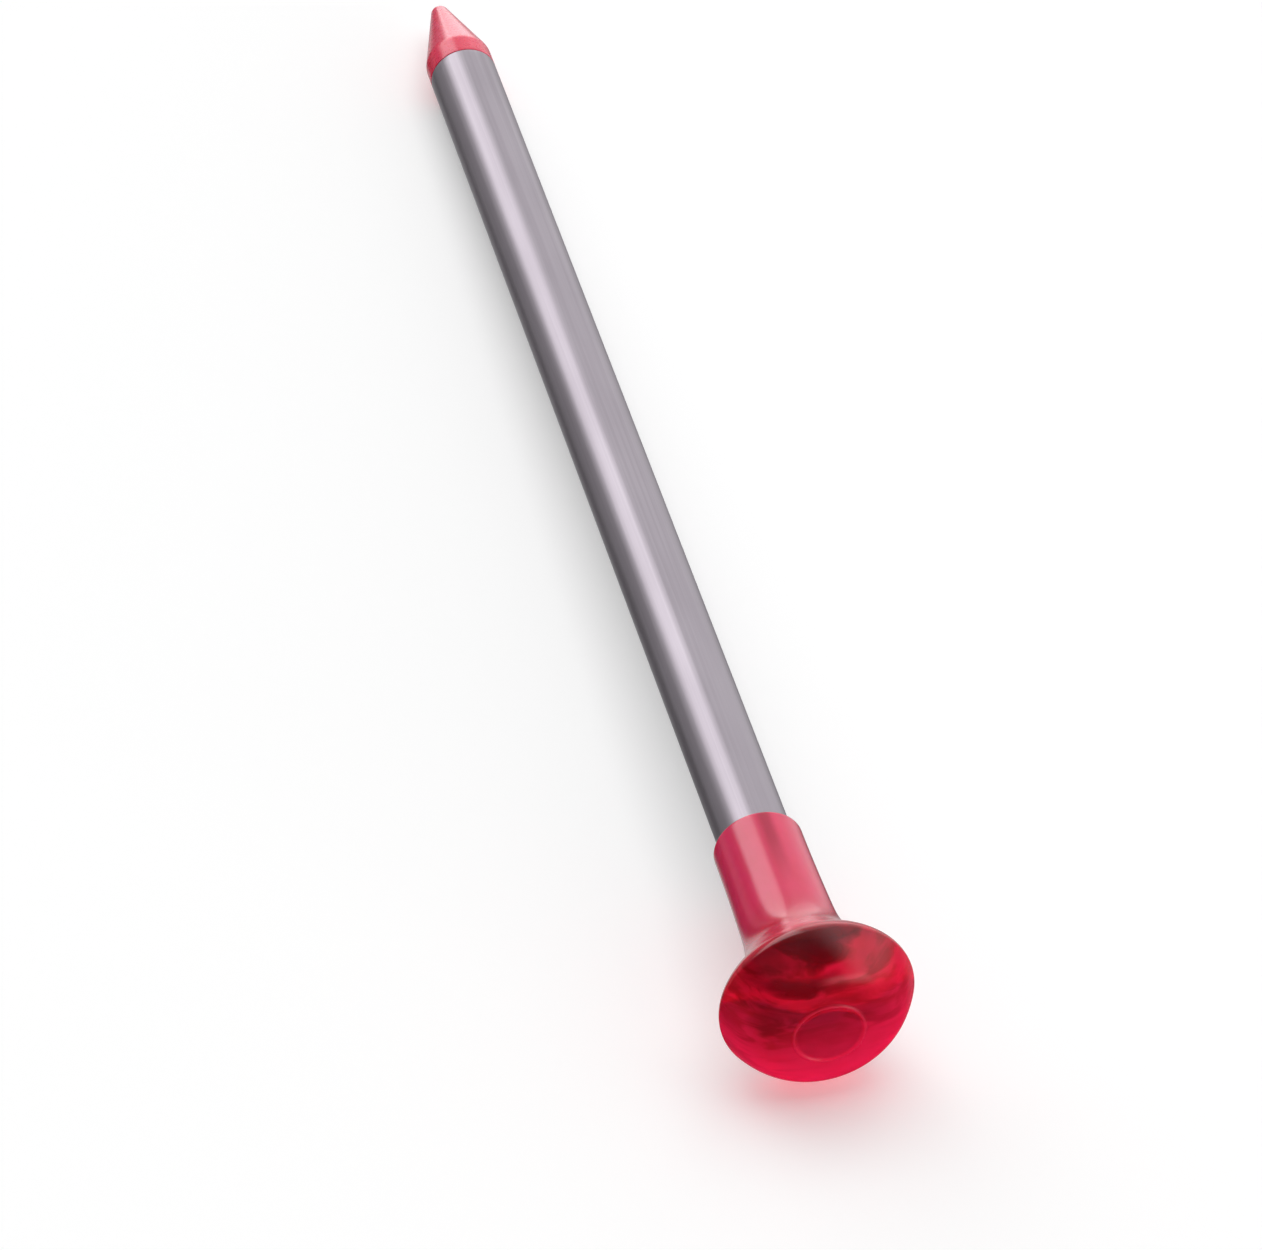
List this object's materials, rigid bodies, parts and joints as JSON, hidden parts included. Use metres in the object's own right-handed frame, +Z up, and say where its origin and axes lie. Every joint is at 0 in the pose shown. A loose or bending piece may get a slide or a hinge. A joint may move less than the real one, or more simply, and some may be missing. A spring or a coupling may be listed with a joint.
{
  "type": "tent stake",
  "caption": "Round tubular tent stake with a satin metal shaft, a domed mushroom head with a cross hole for a cord, and a conical moulded point.",
  "frame": {"origin": "centre of the bottom of the stake's box, on the surface it lies on", "axes": "+X along the stake's length towards the head, +Z up; the stake's own axis rises 2.2 degrees from point to head"},
  "size_m": [0.1524, 0.0172, 0.0173],
  "materials": {
    "head_plastic": "translucent deep red moulded plastic, satin on the neck and glossy on the dome",
    "tip_plastic": "satin to glossy red moulded plastic",
    "satin_aluminium": "satin anodised drawn tube with fine lengthwise grain",
    "carbon_composite": "dull black fibre composite",
    "cured_adhesive": "cured epoxy"
  },
  "bodies": {
    "root": {"head": "head_plastic", "tip": "tip_plastic", "shaft_jacket": "satin_aluminium", "shaft_core": "carbon_composite", "head_bond": "cured_adhesive", "tip_bond": "cured_adhesive"}
  },
  "joints": []
}
